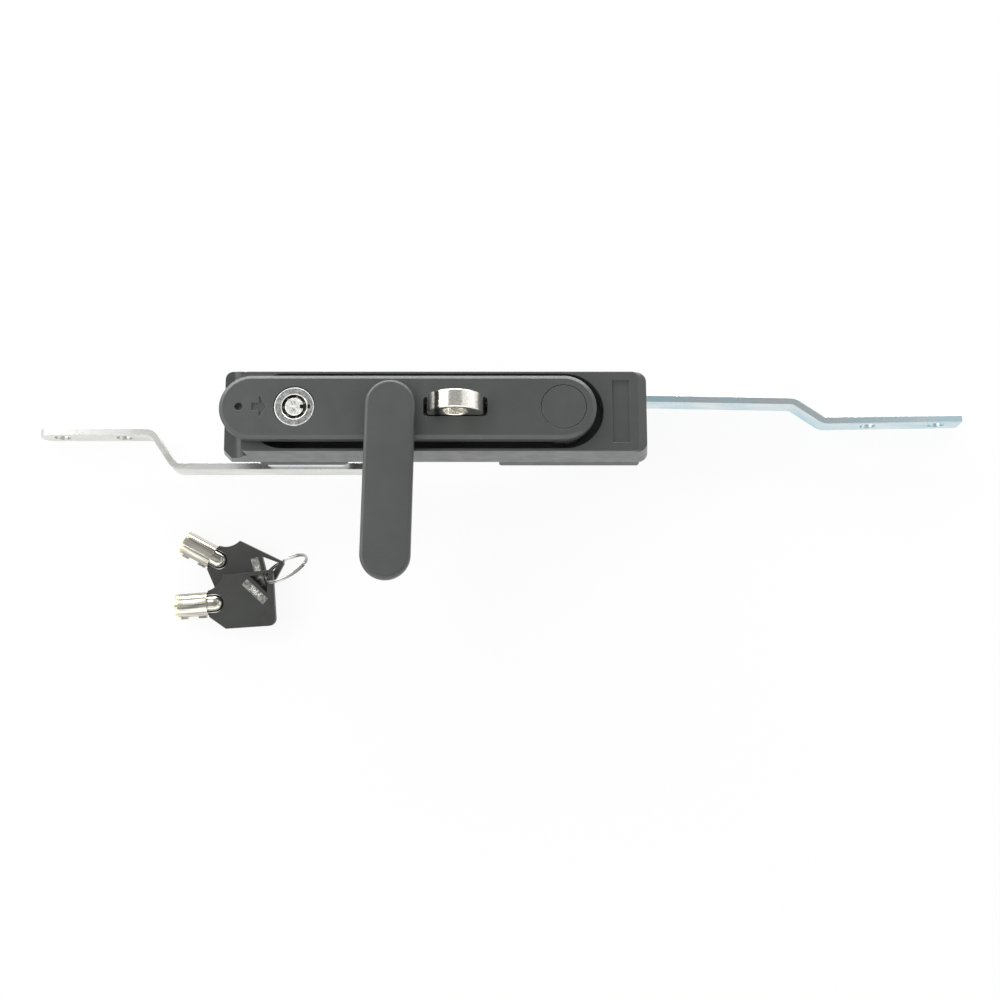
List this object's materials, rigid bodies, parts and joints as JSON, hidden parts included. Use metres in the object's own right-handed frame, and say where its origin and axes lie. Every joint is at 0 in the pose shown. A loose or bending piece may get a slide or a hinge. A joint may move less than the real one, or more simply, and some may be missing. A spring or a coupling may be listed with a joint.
{
  "type": "swing handle lock",
  "caption": "Flush swing handle with tubular lock, dust cover and padlock eye, driving two joggled flat rods through a rack and pinion; loose keys on a ring.",
  "frame": {"origin": "centre of the housing's back face, on the door's outer skin", "axes": "+X along the housing towards the pivot, +Y across it, +Z out of the door"},
  "size_m": [0.3947, 0.1006, 0.0638],
  "materials": {
    "painted_casting": "fine-textured dark grey powder coat",
    "black_plastic": "moulded, lightly grained",
    "chrome": "bright plated",
    "nickel": "satin nickel plate",
    "zinc_plate": "bright zinc plated steel",
    "steel": "turned steel",
    "sintered_steel": "sintered and oiled",
    "rubber": "matt",
    "tag_metal": "stamped strip"
  },
  "bodies": {
    "frame": {"housing": "painted_casting", "padlock_eye": "chrome", "eye_screws": "steel", "drive_drum": "steel", "drum_seal": "rubber", "hinge_pin": "steel", "clamp_pad": "black_plastic", "clamp_plate": "zinc_plate", "clamp_screws": "zinc_plate", "gear_case": "painted_casting", "case_cover": "zinc_plate", "case_screws": "zinc_plate", "case_cover_screws": "zinc_plate", "pinion_washer": "zinc_plate", "pinion_screw": "zinc_plate", "upper_key_shank": "nickel", "upper_key_bow": "black_plastic", "upper_key_tag": "tag_metal", "lower_key_shank": "nickel", "lower_key_bow": "black_plastic", "lower_key_tag": "tag_metal", "key_ring": "nickel"},
    "lever": {"handle": "painted_casting", "pivot_cap": "painted_casting", "lock_barrel": "chrome", "lock_nut": "steel"},
    "plug": {"lock_plug": "nickel", "lock_pins": "nickel", "lock_cam": "zinc_plate", "cam_screw": "steel"},
    "cover": {"dust_cover": "painted_casting", "cover_stud": "steel", "spring_washer": "steel", "cover_clip": "steel"},
    "pinion": {"drive_pinion": "sintered_steel"},
    "left_rod": {"rack_left": "zinc_plate", "rod_left": "zinc_plate", "left_rod_rivets": "steel"},
    "right_rod": {"rack_right": "zinc_plate", "rod_right": "zinc_plate", "right_rod_rivets": "steel"}
  },
  "joints": [
    {"name": "handle_lift", "type": "hinge", "parent": "frame", "child": "lever", "pos_m": [0.0522, 0, 0.018], "axis": [0, 1, 0], "range_deg": [0, 28]},
    {"name": "lock_turn", "type": "hinge", "parent": "lever", "child": "plug", "pos_m": [-0.0561, 0, 0.02], "axis": [0, 0, 1], "range_deg": [0, 90]},
    {"name": "dust_cover_swing", "type": "hinge", "parent": "lever", "child": "cover", "pos_m": [-0.0174, 0, 0.0253], "axis": [0, 0, 1], "range_deg": [-89, 25]},
    {"name": "pinion_turn", "type": "hinge", "parent": "frame", "child": "pinion", "pos_m": [0.0522, 0, -0.018], "axis": [0, 0, 1], "range_deg": [0, 90]},
    {"name": "left_rod_slide", "type": "slide", "parent": "frame", "child": "left_rod", "axis": [1, 0, 0], "range_m": [0, 0.01005]},
    {"name": "right_rod_slide", "type": "slide", "parent": "frame", "child": "right_rod", "axis": [-1, 0, 0], "range_m": [0, 0.01005]}
  ],
  "couplings": [
    {"joint": "pinion_turn", "follows": "left_rod_slide", "rad_per_m": 156.25},
    {"joint": "right_rod_slide", "follows": "left_rod_slide", "ratio": 1}
  ]
}
